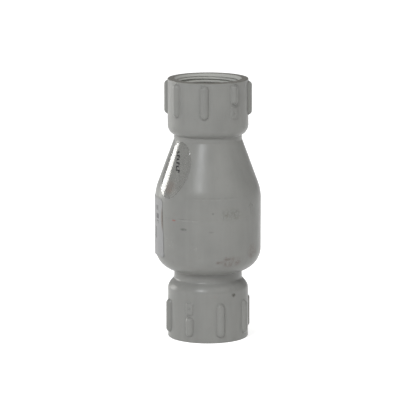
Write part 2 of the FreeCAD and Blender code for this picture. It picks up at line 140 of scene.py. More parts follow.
def roundedBlock(across, up, width, height, corner):
    # signed distance to a rectangle with rounded corners
    gapAcross = np.abs(across) - width / 2 + corner
    gapUp = np.abs(up) - height / 2 + corner
    outside = np.hypot(np.maximum(gapAcross, 0.0), np.maximum(gapUp, 0.0))
    return outside + np.minimum(np.maximum(gapAcross, gapUp), 0.0) - corner


def finishMesh(name, mesh, material, body, nodes, crease):
    # merges doubled points, smooths all but the creases, and seats the piece on its body
    work = bmesh.new()
    work.from_mesh(mesh)
    bmesh.ops.remove_doubles(work, verts=work.verts, dist=mergeReach["grid"])
    bmesh.ops.dissolve_degenerate(work, edges=work.edges, dist=mergeReach["sliver"])
    work.to_mesh(mesh)
    work.free()
    mesh.polygons.foreach_set("use_smooth", [True] * len(mesh.polygons))
    mesh.set_sharp_from_angle(angle=math.radians(crease))
    piece = bpy.data.objects.new(name, mesh)
    bpy.context.scene.collection.objects.link(piece)
    mesh.materials.append(material)
    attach(piece, body)
    if nodes:
        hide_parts(*nodes)
    return piece


def gridPiece(name, points, material, body, nodes=(), loop=False, crease=38.0, uv=None):
    # one or more grids of points, rows along a path and columns across it, as one quad per cell
    grids = points if isinstance(points, list) else [points]
    quads = []
    first = 0
    for grid in grids:
        rows, columns = grid.shape[:2]
        cells = first + np.arange(rows * columns).reshape(rows, columns)
        first += rows * columns
        if loop:
            cells = np.concatenate((cells, cells[:1]))
        low = cells[:-1]
        high = cells[1:]
        cell = (low[:, :-1], low[:, 1:], high[:, 1:], high[:, :-1])
        quads.append(np.stack(cell, axis=-1).reshape(-1, 4))
    quads = np.concatenate(quads)
    places = np.concatenate([grid.reshape(-1, 3) for grid in grids])
    mesh = bpy.data.meshes.new(name)
    mesh.from_pydata((places * mm).tolist(), [], quads.tolist())
    if uv is not None:
        layer = mesh.uv_layers.new(name="sheet")
        layer.data.foreach_set("uv", uv.reshape(-1, 2)[quads.ravel()].ravel())
    return finishMesh(name, mesh, material, body, nodes, crease)


def lathePiece(name, corners, material, body, nodes, closed=True):
    # an outline carried round the valve's axis
    outline = roundedPath(corners + corners[:1] if closed else corners, **latheSteps)
    azimuth = np.linspace(0.0, 2.0 * math.pi, latheSegments + 1)
    points = cylinderPoints(azimuth[None, :], outline[:, :1], outline[:, 1:])
    gridPiece(name, points, material, body, nodes)


# Materials. Each look is a dictionary, and one function per kind of stuff builds its nodes.

# the middle stretch of a noise, spread out to the whole way between two tones
softRange = (0.3, 0.7)
plasticRecipe = {
    "flowStretch": (1, 1, 0.12), "flowRange": (0.35, 0.7), "glossScale": 3.1, "glossRange": (0.3, 0.72),
    "grainShare": 0.35,
}
# a mark on the chamber's wall stands at this radius unless it has its own
markRecipe = {"radius": 38.1, "edge": (1.0, 0.35)}
printRecipe = {"wearRange": (0.28, 0.4), "inkAlpha": 0.95, "stainAndShadowEdge": (1.0, 0.3), "stainAndShadowRange": (0.3, 0.55)}


def startMaterial(name):
    # an empty material with its node tree, its shader and its coordinates
    material = bpy.data.materials.new(name)
    material.use_nodes = True
    tree = material.node_tree
    shader = tree.nodes["Principled BSDF"]
    place = tree.nodes.new("ShaderNodeTexCoord")
    return material, tree, shader, place


def mapped(tree, source, scale=(1, 1, 1), location=(0, 0, 0), rotation=(0, 0, 0)):
    # coordinates scaled, then turned, then moved
    node = tree.nodes.new("ShaderNodeMapping")
    node.inputs["Scale"].default_value = scale
    node.inputs["Location"].default_value = location
    node.inputs["Rotation"].default_value = rotation
    tree.links.new(source, node.inputs["Vector"])
    return node.outputs["Vector"]


def noise(tree, source, scale, detail=3.0, rough=0.55, warp=0.0):
    # fractal noise between 0 and 1, mostly near 0.5
    node = tree.nodes.new("ShaderNodeTexNoise")
    node.inputs["Scale"].default_value = scale
    node.inputs["Detail"].default_value = detail
    node.inputs["Roughness"].default_value = rough
    node.inputs["Distortion"].default_value = warp
    tree.links.new(source, node.inputs["Vector"])
    return node.outputs["Fac"]


def spread(tree, source, fromLow, fromHigh, low=0.0, high=1.0):
    # a smooth rise from low to high while the source goes from one number to the other
    node = tree.nodes.new("ShaderNodeMapRange")
    node.interpolation_type = "SMOOTHSTEP"
    numbers = {"From Min": fromLow, "From Max": fromHigh, "To Min": low, "To Max": high}
    for socket, number in numbers.items():
        node.inputs[socket].default_value = number
    tree.links.new(source, node.inputs["Value"])
    return node.outputs["Result"]


def combine(tree, operation, first, second):
    # one sum on two values, each a number or another node's output
    node = tree.nodes.new("ShaderNodeMath")
    node.operation = operation
    for socket, value in zip(node.inputs, (first, second)):
        if isinstance(value, (int, float)):
            socket.default_value = value
        else:
            tree.links.new(value, socket)
    return node.outputs["Value"]


def colourMix(tree, share, under, over):
    # the Mix node's colour sockets share their names with its number sockets, so they are
    # picked by place: 6 and 7 in, 2 out
    node = tree.nodes.new("ShaderNodeMix")
    node.data_type = "RGBA"
    tree.links.new(share, node.inputs[0])
    for socket, value in ((node.inputs[6], under), (node.inputs[7], over)):
        if isinstance(value, tuple):
            socket.default_value = (*value, 1.0)
        else:
            tree.links.new(value, socket)
    return node.outputs[2]


def vectorStep(tree, operation, vector, other=(0.0, 0.0, 0.0)):
    # one sum on a vector, with a fixed second vector where it has one
    node = tree.nodes.new("ShaderNodeVectorMath")
    node.operation = operation
    node.inputs[1].default_value = other
    tree.links.new(vector, node.inputs[0])
    return node.outputs["Value" if operation == "LENGTH" else "Vector"]


def roughen(tree, shader, height, strength, distance):
    # tilts the normals by the slope of a height
    node = tree.nodes.new("ShaderNodeBump")
    node.inputs["Strength"].default_value = strength
    node.inputs["Distance"].default_value = distance
    tree.links.new(height, node.inputs["Height"])
    tree.links.new(node.outputs["Normal"], shader.inputs["Normal"])


def mouldedStuff(name, look):
    # moulded plastic or rubber: cloudy tone, faint flow marks along the valve, fine grain
    material, tree, shader, place = startMaterial(name)
    spot = place.outputs["Object"]
    recipe = plasticRecipe
    cloud = spread(tree, noise(tree, spot, look["cloudScale"], 4.0), *softRange)
    drawn = mapped(tree, spot, recipe["flowStretch"])
    flow = noise(tree, drawn, look["flowScale"], detail=3.0, rough=0.6, warp=0.4)
    flow = spread(tree, flow, *recipe["flowRange"])
    grain = noise(tree, spot, look["grainScale"], 2.0, 0.7)
    tone = colourMix(tree, cloud, look["dark"], look["light"])
    tone = colourMix(tree, combine(tree, "MULTIPLY", flow, look["flowShare"]), tone, look["flowColor"])
    if "speckColor" in look:
        speck = spread(tree, noise(tree, spot, look["speckScale"], 2.0, 0.5), *look["speckRange"])
        tone = colourMix(tree, combine(tree, "MULTIPLY", speck, look["speckShare"]), tone, look["speckColor"])
    for mark in look.get("marks", ()):
        tone = markOver(tree, spot, tone, mark)
    if "bore" in look:
        tone = boreAndRim(tree, spot, tone, look["bore"])
    tree.links.new(tone, shader.inputs["Base Color"])
    gloss = noise(tree, spot, look["cloudScale"] * recipe["glossScale"], 5.0)
    gloss = spread(tree, gloss, *recipe["glossRange"], *look["roughness"])
    tree.links.new(gloss, shader.inputs["Roughness"])
    shader.inputs["Specular IOR Level"].default_value = look["specular"]
    height = combine(tree, "ADD", combine(tree, "MULTIPLY", grain, recipe["grainShare"]), flow)
    roughen(tree, shader, height, look["bump"], look["bumpDepth"])
    return material


def markOver(tree, spot, tone, mark):
    # smudges and scuffs, and also painted shade and painted highlights: each a soft ball of colour at one
    # place, broken up by noise
    azimuth = math.radians(mark["azimuth"])
    centre = cylinderPoints(azimuth, mark.get("radius", markRecipe["radius"]), mark["height"]) * mm
    offset = vectorStep(tree, "SUBTRACT", spot, centre)
    scale = tuple(1.0 / (size * mm) for size in mark["size"])
    local = mapped(tree, offset, scale, rotation=(0.0, 0.0, -azimuth))
    near = spread(tree, vectorStep(tree, "LENGTH", local), *markRecipe["edge"])
    broken = spread(tree, noise(tree, spot, mark["grain"], 5.0, 0.7), *mark["breakUp"])
    share = combine(tree, "MULTIPLY", combine(tree, "MULTIPLY", near, broken), mark["strength"])
    return colourMix(tree, share, tone, mark["color"])


def boreAndRim(tree, spot, tone, bore):
    # painted light inside the bores, a paler tone, and painted shade on the mouths' darker end faces
    flat = vectorStep(tree, "MULTIPLY", spot, (1.0, 1.0, 0.0))
    wall = [(bore["radius"] + away) * mm for away in bore["wallFade"]]
    inside = spread(tree, vectorStep(tree, "LENGTH", flat), *wall)
    parts = tree.nodes.new("ShaderNodeSeparateXYZ")
    tree.links.new(spot, parts.inputs["Vector"])
    middle = combine(tree, "SUBTRACT", parts.outputs["Z"], bore["top"] * mm / 2)
    fromMiddle = combine(tree, "ABSOLUTE", middle, 0.0)
    rim = [(bore["top"] / 2 - away) * mm for away in bore["rimFade"]]
    tone = colourMix(tree, spread(tree, fromMiddle, *rim), tone, bore["paintedShadeRimColor"])
    return colourMix(tree, inside, tone, bore["paintedLightInsideColor"])


def metalStuff(name, look):
    # drawn or turned steel: fine lines along one way, soft patches of duller metal
    material, tree, shader, place = startMaterial(name)
    spot = place.outputs["Object"]
    lines = noise(tree, mapped(tree, spot, look["lineStretch"]), look["lineScale"], 3.0, 0.7)
    patch = spread(tree, noise(tree, spot, look["patchScale"], 4.0), *softRange)
    tone = colourMix(tree, patch, look["dark"], look["light"])
    tree.links.new(tone, shader.inputs["Base Color"])
    gloss = spread(tree, lines, *softRange, 0.0, look["lineGloss"])
    gloss = combine(tree, "ADD", gloss, look["roughness"])
    tree.links.new(gloss, shader.inputs["Roughness"])
    shader.inputs["Metallic"].default_value = 1.0
    roughen(tree, shader, lines, look["bump"], look["bumpDepth"])
    return material


def insideBars(tree, sheet, bars):
    # 1 inside any of the bars (left, right, bottom, top) of the sheet, else 0
    parts = tree.nodes.new("ShaderNodeSeparateXYZ")
    tree.links.new(sheet, parts.inputs["Vector"])
    total = None
    for left, right, bottom, top in bars:
        away = combine(tree, "SUBTRACT", parts.outputs["X"], (left + right) / 2)
        away = combine(tree, "ABSOLUTE", away, 0.0)
        rise = combine(tree, "SUBTRACT", parts.outputs["Y"], (bottom + top) / 2)
        rise = combine(tree, "ABSOLUTE", rise, 0.0)
        within = combine(tree, "LESS_THAN", away, (right - left) / 2)
        level = combine(tree, "LESS_THAN", rise, (top - bottom) / 2)
        bar = combine(tree, "MULTIPLY", within, level)
        total = bar if total is None else combine(tree, "MAXIMUM", total, bar)
    return total


def stainAndShadowOver(tree, sheet, fibre, stainAndShadow):
    # a soft oval mark at a place (across, up) of the sheet with its half sizes: a real stain on the film, and
    # a painted shadow along the paper's right edge
    across, up, halfWide, halfTall = stainAndShadow
    scale = (1.0 / halfWide, 1.0 / halfTall, 0.0)
    local = mapped(tree, sheet, scale, (-across / halfWide, -up / halfTall, 0.0))
    near = spread(tree, vectorStep(tree, "LENGTH", local), *printRecipe["stainAndShadowEdge"])
    return combine(tree, "MULTIPLY", near, spread(tree, fibre, *printRecipe["stainAndShadowRange"]))


def labelStuff(name, look):
    # paper or film with plain printed bars on its own sheet coordinates
    material, tree, shader, place = startMaterial(name)
    spot = place.outputs["Object"]
    fibre = noise(tree, spot, look["fibreScale"], 4.0, 0.7)
    sheetTone = colourMix(tree, spread(tree, fibre, *softRange), look["dark"], look["light"])
    stainAndShadow = stainAndShadowOver(tree, place.outputs["UV"], fibre, look["stainAndShadow"])
    stainAndShadow = combine(tree, "MULTIPLY", stainAndShadow, look["stainAndShadowShare"])
    sheetTone = colourMix(tree, stainAndShadow, sheetTone, look["stainAndShadowColor"])
    ink = insideBars(tree, place.outputs["UV"], look["bars"])
    worn = noise(tree, spot, look["wearScale"], 4.0)
    worn = spread(tree, worn, *printRecipe["wearRange"], look["leastInk"], 1.0)
    ink = combine(tree, "MULTIPLY", ink, worn)
    tree.links.new(colourMix(tree, ink, sheetTone, look["ink"]), shader.inputs["Base Color"])
    shader.inputs["Roughness"].default_value = look["roughness"]
    shader.inputs["Specular IOR Level"].default_value = look["specular"]
    if look["alpha"] < 1.0:
        solid = combine(tree, "MULTIPLY", ink, printRecipe["inkAlpha"])
        solid = combine(tree, "MAXIMUM", solid, look["alpha"])
        solid = combine(tree, "MAXIMUM", solid, stainAndShadow)
        tree.links.new(solid, shader.inputs["Alpha"])
    shader.inputs["Coat Weight"].default_value = look["coat"]
    shader.inputs["Coat Roughness"].default_value = look["coatRoughness"]
    roughen(tree, shader, fibre, look["bump"], look["bumpDepth"])
    return material


shellLook = {
    "dark": (0.152, 0.152, 0.144), "light": (0.171, 0.171, 0.161),
    "flowColor": (0.184, 0.184, 0.174), "flowShare": 0.35,
    "cloudScale": 38.0, "flowScale": 150.0, "grainScale": 2600.0,
    "speckScale": 420.0, "speckRange": (0.66, 0.74), "speckShare": 0.12, "speckColor": (0.1, 0.095, 0.08),
    "roughness": (0.29, 0.38), "specular": 0.24, "bump": 0.2, "bumpDepth": 0.0001,
    # bore: painted light on the inside of the bores, painted shade on the mouths' end faces
    "bore": {"radius": 24.0, "top": nodeBox("outlet_body")[1][2], "paintedShadeRimColor": (0.1, 0.094, 0.08),
             "paintedLightInsideColor": (0.31, 0.31, 0.29), "wallFade": (0.25, -0.1), "rimFade": (0.5, 0.1)},
    "marks": (
        # brown smudges low on the chamber's right
        {"azimuth": 21.7, "radius": 37.5, "height": 63.5, "size": (3.6, 7.0, 2.2), "grain": 520.0,
         "breakUp": (0.4, 0.56), "strength": 0.55, "color": (0.085, 0.06, 0.052)},
        {"azimuth": 11.0, "radius": 37.0, "height": 60.6, "size": (2.6, 7.0, 1.5), "grain": 520.0,
         "breakUp": (0.42, 0.55), "strength": 0.5, "color": (0.09, 0.062, 0.054)},
        {"azimuth": 27.0, "radius": 36.5, "height": 60.5, "size": (13.0, 9.0, 5.5), "grain": 420.0,
         "breakUp": (0.41, 0.62), "strength": 0.6, "color": (0.105, 0.078, 0.068)},
        {"azimuth": 57.0, "radius": 37.8, "height": 66.0, "size": (6.5, 9.0, 7.5), "grain": 380.0,
         "breakUp": (0.38, 0.6), "strength": 0.5, "color": (0.1, 0.075, 0.064)},
        # greenish handling marks high on the right
        {"azimuth": 26.0, "height": 95.0, "size": (10.5, 9.0, 6.5), "grain": 480.0,
         "breakUp": (0.43, 0.6), "strength": 0.4, "color": (0.105, 0.105, 0.083)},
        {"azimuth": 5.4, "height": 96.3, "size": (1.3, 8.0, 1.1), "grain": 300.0,
         "breakUp": (0.2, 0.4), "strength": 0.4, "color": (0.07, 0.07, 0.062)},
        {"azimuth": 3.5, "height": 83.0, "size": (2.6, 8.0, 0.8), "grain": 500.0,
         "breakUp": (0.35, 0.5), "strength": 0.35, "color": (0.09, 0.088, 0.08)},
        # scuff on the left: a dark line, a paler one under it, a red speck and a short dent
        {"azimuth": -24.0, "height": 91.6, "size": (10.0, 8.0, 0.5), "grain": 420.0,
         "breakUp": (0.38, 0.56), "strength": 0.45, "color": (0.085, 0.085, 0.08)},
        {"azimuth": -22.0, "height": 90.5, "size": (11.0, 8.0, 0.5), "grain": 420.0,
         "breakUp": (0.4, 0.58), "strength": 0.35, "color": (0.3, 0.3, 0.28)},
        {"azimuth": -39.8, "height": 90.1, "size": (1.9, 8.0, 0.75), "grain": 900.0,
         "breakUp": (0.25, 0.45), "strength": 0.75, "color": (0.2, 0.07, 0.06)},
        {"azimuth": -27.2, "height": 84.3, "size": (3.2, 8.0, 1.2), "grain": 420.0,
         "breakUp": (0.34, 0.5), "strength": 0.6, "color": (0.06, 0.06, 0.055)},
        # pale flecks low on the left
        {"azimuth": -47.0, "height": 73.5, "size": (5.5, 8.0, 6.5), "grain": 900.0,
         "breakUp": (0.56, 0.66), "strength": 0.4, "color": (0.34, 0.34, 0.32)},
        {"azimuth": -14.5, "height": 71.5, "size": (3.6, 8.0, 3.0), "grain": 600.0,
         "breakUp": (0.5, 0.62), "strength": 0.3, "color": (0.3, 0.3, 0.28)},
        # painted shade just above the corner at the foot of the cone, and a painted highlight just below it
        {"azimuth": 12.0, "radius": 38.0, "height": 107.2, "size": (26.0, 10.0, 0.7), "grain": 260.0,
         "breakUp": (0.36, 0.6), "strength": 0.22, "color": (0.1, 0.1, 0.092)},
        {"azimuth": 12.0, "radius": 38.0, "height": 105.9, "size": (24.0, 10.0, 0.7), "grain": 260.0,
         "breakUp": (0.38, 0.6), "strength": 0.16, "color": (0.27, 0.27, 0.26)},
        # painted shade in the gate's dimple, and a faint pink rub beside it
        {"azimuth": 40.0, "radius": 28.6, "height": 34.2, "size": (1.9, 4.0, 1.9), "grain": 300.0,
         "breakUp": (0.2, 0.35), "strength": 0.62, "color": (0.05, 0.045, 0.035)},
        {"azimuth": 4.0, "radius": 29.0, "height": 34.0, "size": (7.0, 6.0, 1.6), "grain": 500.0,
         "breakUp": (0.45, 0.6), "strength": 0.3, "color": (0.2, 0.15, 0.13)},
    ),
}
innerLook = {
    "dark": (0.105, 0.106, 0.11), "light": (0.132, 0.133, 0.138),
    "flowColor": (0.155, 0.155, 0.16), "flowShare": 0.3,
    "cloudScale": 60.0, "flowScale": 220.0, "grainScale": 3000.0,
    "roughness": (0.36, 0.5), "specular": 0.5, "bump": 0.25, "bumpDepth": 0.0001,
}
acetalLook = {
    "dark": (0.72, 0.71, 0.66), "light": (0.79, 0.78, 0.74),
    "flowColor": (0.82, 0.81, 0.77), "flowShare": 0.2,
    "cloudScale": 90.0, "flowScale": 300.0, "grainScale": 3500.0,
    "roughness": (0.38, 0.5), "specular": 0.45, "bump": 0.2, "bumpDepth": 0.00008,
}
rubberLook = {
    "dark": (0.016, 0.016, 0.017), "light": (0.026, 0.026, 0.027),
    "flowColor": (0.04, 0.04, 0.041), "flowShare": 0.25,
    "cloudScale": 110.0, "flowScale": 260.0, "grainScale": 4200.0,
    "roughness": (0.6, 0.78), "specular": 0.35, "bump": 0.4, "bumpDepth": 0.0001,
}
stainlessLook = {
    "dark": (0.52, 0.51, 0.49), "light": (0.66, 0.65, 0.63), "patchScale": 160.0,
    "lineScale": 900.0, "lineStretch": (1.0, 1.0, 0.15), "lineGloss": 0.16, "roughness": 0.2,
    "bump": 0.2, "bumpDepth": 0.00004,
}
springLook = {
    "dark": (0.42, 0.41, 0.4), "light": (0.6, 0.59, 0.57), "patchScale": 260.0,
    "lineScale": 1500.0, "lineStretch": (0.3, 0.3, 1.0), "lineGloss": 0.18, "roughness": 0.24,
    "bump": 0.25, "bumpDepth": 0.00004,
}
uprightBars = (
    (0.12, 0.14), (0.16, 0.19), (0.21, 0.22), (0.24, 0.28),
    (0.30, 0.31), (0.33, 0.35), (0.37, 0.41), (0.43, 0.44),
)
paperLook = {
    "leastInk": 0.6, "ink": (0.03, 0.031, 0.034),
    # a grey tone for white paper: painted shade for the shade the label lies in
    "dark": (0.155, 0.155, 0.156), "light": (0.188, 0.188, 0.19),
    "fibreScale": 1800.0, "wearScale": 700.0, "roughness": 0.5, "specular": 0.4, "alpha": 1.0,
    "coat": 0.15, "coatRoughness": 0.3, "bump": 0.25, "bumpDepth": 0.00005,
    # the mark at the right edge is a painted shadow line along the paper's edge
    "stainAndShadow": (0.985, 0.66, 0.07, 0.26), "stainAndShadowColor": (0.07, 0.052, 0.03), "stainAndShadowShare": 0.8,
    "bars": (
        (0.63, 0.69, 0.30, 0.50), (0.69, 0.83, 0.65, 0.735),
        (0.70, 0.745, 0.79, 0.875), (0.77, 0.81, 0.79, 0.875), (0.72, 0.80, 0.83, 0.84),
        (0.70, 0.81, 0.605, 0.62), (0.70, 0.72, 0.565, 0.62), (0.79, 0.81, 0.565, 0.62),
        (0.12, 0.45, 0.80, 0.86), (0.12, 0.40, 0.73, 0.745), (0.12, 0.44, 0.70, 0.715),
        (0.12, 0.36, 0.67, 0.685),
    ) + tuple((left, right, 0.15, 0.45) for left, right in uprightBars),
}
filmPrint = {
    "start": (0.47, 0.84), "end": (0.65, 0.47), "glyphs": 6, "height": 0.052,
    "widths": (0.09, 0.12, 0.1, 0.13, 0.11, 0.14),
    "barFoot": 0.1, "stemTop": 0.5, "stemWidth": 0.6, "leftStem": -0.85, "rightStem": 0.55,
}


def glyphBars(line):
    # a row of plain blocks from start to end, each a bar with a stem under its left or right
    # side; the shares are of the block's half width and half height
    steps = (np.arange(line["glyphs"]) + 0.5) / line["glyphs"]
    start = np.array(line["start"])
    middles = start + steps[:, None] * (np.array(line["end"]) - start)
    tall = line["height"] / 2
    bars = []
    for index, (across, up) in enumerate(middles):
        wide = line["widths"][index] / 2
        stem = across + line["rightStem" if index % 2 else "leftStem"] * wide
        bars.append((across - wide, across + wide, up + tall * line["barFoot"], up + tall))
        bars.append((stem, stem + line["stemWidth"] * wide, up - tall, up + tall * line["stemTop"]))
    return tuple(bars)


filmLook = {
    "leastInk": 0.95, "ink": (0.004, 0.004, 0.005),
    "dark": (0.17, 0.169, 0.158), "light": (0.188, 0.187, 0.175),
    "fibreScale": 300.0, "wearScale": 900.0, "roughness": 0.06, "specular": 0.3, "alpha": 0.7,
    "coat": 0.85, "coatRoughness": 0.14, "bump": 0.03, "bumpDepth": 0.00004,
    "stainAndShadow": (0.52, 0.2, 0.26, 0.16), "stainAndShadowColor": (0.16, 0.11, 0.085), "stainAndShadowShare": 0.45,
    "bars": glyphBars(filmPrint) + ((0.15, 0.21, 0.64, 0.66), (0.17, 0.2, 0.6, 0.62)),
}

shellPvc = mouldedStuff("shellPvc", shellLook)
innerPvc = mouldedStuff("innerPvc", innerLook)
acetal = mouldedStuff("acetal", acetalLook)
sealRubber = mouldedStuff("sealRubber", rubberLook)
stainless = metalStuff("stainless", stainlessLook)
springWire = metalStuff("springWire", springLook)
labelPaper = labelStuff("labelPaper", paperLook)
clearFilm = labelStuff("clearFilm", filmLook)
print("materials done")


# The two shells.

inletHigh = nodeBox("inlet_body")[1]
outletLow, outletHigh = nodeBox("outlet_body")
spiderLow = nodeBox("guide_spider")[0]
sealLow, sealHigh = nodeBox("poppet_seal")
seamLevel = inletHigh[2]
topLevel = outletHigh[2]
chamberRadius = inletHigh[0]

shell = {
    "hubRadius": 29.0, "neckRadius": 24.45, "wall": 4.7, "throatRadius": 20.0,
    "mouthRounding": 0.6, "creaseRounding": 0.7, "creaseReach": 3.6, "creasePasses": 110,
    "domeRadius": 18.1, "domeLevel": 66.62, "blendRadius": 30.6, "blendLevel": 101.62, "coneAngle": 20.05,
    "inletShoulder": 8.4, "inletShoulderLevel": 35.4,
    "outletShoulder": 8.1, "outletShoulderLevel": 155.21,
    "seamChamfer": 0.06, "socketWall": 2.3, "cementGap": 0.05,
    "seatLipOuter": 22.0, "seatFoot": 22.4,
    "mouthRadius": 24.1, "hubStep": 0.45, "creaseStep": 0.6, "curveStep": 1.0,
    "seatRounding": 0.3, "footRounding": 0.4, "throatRounding": 0.6, "spigotRounding": 0.3,
    "coneRounding": 2.4, "innerNeckRounding": 2.5, "innerBlend": 6.0,
}
ribs = {
    "radius": 3.0, "axisRadius": 28.6, "count": 8, "blend": 1.9,
    "inletAzimuth": 18.0, "inletLow": 7.4, "inletHigh": 25.8, "inletShort": -27.0, "inletShortEnd": 15.8,
    "outletAzimuth": -5.2, "outletHighMargin": 4.7, "length": 18.4, "shortLength": 8.4, "outletShort": 39.8,
    "arcColumns": 17, "flankAzimuths": (6.6, 7.3, 8.3), "plainColumns": 14,
    "mouthMargin": 0.8, "shoulderMargin": 4.0,
}
tablet = {
    "width": 5.5, "height": 8.5, "corner": 1.4, "relief": 0.8, "edge": 0.9,
    "inletLevel": 24.55, "outletDepth": 21.85, "dimpleRadius": 0.95, "dimpleDepth": 0.5,
    "dimpleEdge": 1.2,
}
thread = {
    "pitch": 2.209, "minorRadius": 21.93, "depth": 0.85, "taper": 1.0 / 32.0, "flat": 0.1,
    "first": 0.35, "last": 27.0, "fadeStart": 19.0, "fadeEnd": 26.0, "runout": 1.1,
    "phases": (0.0, 0.05, 0.25, 0.45, 0.5, 0.55, 0.75, 0.95),
}
gate = {"azimuth": 40.0, "level": 34.2, "radius": 1.2, "depth": 0.8, "edge": 1.25, "span": 3.6, "columns": 13}


def ribColumns(firstAzimuth, extras=()):
    # azimuths of the grid's columns: equal turns of each rib's own round section, so they
    # crowd at its flanks, then plain steps to the next rib
    spacing = 2.0 * math.pi / ribs["count"]
    swing = np.radians(np.linspace(-90.0, 90.0, ribs["arcColumns"]))
    across = np.arctan2(ribs["radius"] * np.sin(swing), ribs["axisRadius"] + ribs["radius"] * np.cos(swing))
    edge = np.radians(ribs["flankAzimuths"])
    plain = np.linspace(edge[-1], spacing - edge[-1], ribs["plainColumns"])[1:-1]
    sector = np.concatenate((-edge[::-1], across, edge, plain))
    steps = np.arange(ribs["count"])[:, None] * spacing
    columns = (math.radians(firstAzimuth) + steps + sector[None, :]).ravel()
    start = columns[0]
    more = (np.radians(np.array(extras, float)) - start) % (2.0 * math.pi) + start
    columns = np.unique(np.round(np.concatenate((columns, more)), 6))
    return np.concatenate((columns, columns[:1] + 2.0 * math.pi))


def ribbedRadius(base, azimuth, height, firstAzimuth, low, high, shortAzimuth, shortLow, shortHigh):
    # the hub joined softly with its ribs; a rib is a capsule, whose far side along a ray from
    # the axis is a cos(d) + sqrt(r^2 - dz^2 - a^2 sin^2(d)) at an azimuth d off its own
    spacing = 360.0 / ribs["count"]
    degrees = np.degrees(azimuth)
    off = np.radians((degrees - firstAzimuth + spacing / 2) % spacing - spacing / 2)
    toShort = np.abs((degrees - shortAzimuth + 180.0) % 360.0 - 180.0) < spacing / 2
    lowEnd = np.where(toShort, shortLow, low)
    highEnd = np.where(toShort, shortHigh, high)
    beyond = np.maximum(lowEnd - height, 0.0) + np.maximum(height - highEnd, 0.0)
    room = ribs["radius"] ** 2 - beyond ** 2 - (ribs["axisRadius"] * np.sin(off)) ** 2
    rib = ribs["axisRadius"] * np.cos(off) + np.sign(room) * np.sqrt(np.abs(room))
    return softMax(rib, base, ribs["blend"])


def tabletRelief(azimuth, height, middle, level):
    # a rounded block with a soft edge and a small dimple in its middle
    across = shell["hubRadius"] * ((azimuth - math.radians(middle) + math.pi) % (2.0 * math.pi) - math.pi)
    up = height - level
    away = roundedBlock(across, up, tablet["width"], tablet["height"], tablet["corner"])
    block = tablet["relief"] * easeStep(0.5 - away / tablet["edge"])
    near = tablet["dimpleEdge"] - np.hypot(across, up) / tablet["dimpleRadius"]
    return block - tablet["dimpleDepth"] * easeStep(near)


def threadRows(columns, highEnd, lowEnd, mouthLevel):
    # rows that climb one pitch per turn, so crests lie along them: height = row + pitch * turn,
    # and radius = taper line + depth * tooth(phase), cut away by the mouth's 45 degree chamfer
    turns = math.ceil((highEnd - lowEnd) / thread["pitch"]) + 1
    phases = (np.arange(turns)[:, None] + np.array(thread["phases"])[None, :]).ravel()
    climb = thread["pitch"] * (columns - columns[0]) / (2.0 * math.pi)
    height = highEnd - thread["pitch"] * phases[:, None] + climb[None, :]
    height = np.clip(height, lowEnd, highEnd)
    depth = np.abs(height - mouthLevel)
    rise = 1.0 - np.abs(2.0 * (phases % 1.0) - 1.0)
    tooth = np.clip((rise - thread["flat"]) / (1.0 - 2.0 * thread["flat"]), 0.0, 1.0)[:, None]
    fade = easeStep((thread["fadeEnd"] - depth) / (thread["fadeEnd"] - thread["fadeStart"]))
    radius = thread["minorRadius"] - thread["taper"] * depth + thread["depth"] * fade * tooth
    radius = np.maximum(radius, shell["mouthRadius"] - depth)
    return cylinderPoints(columns[None, :], radius, height)


def aroundAxis(outline, columns):
    # an outline repeated at every column's azimuth
    radius = np.repeat(outline[:, :1], len(columns), axis=1)
    height = np.repeat(outline[:, 1:], len(columns), axis=1)
    azimuth = np.repeat(columns[None, :], len(outline), axis=0)
    return radius, height, azimuth


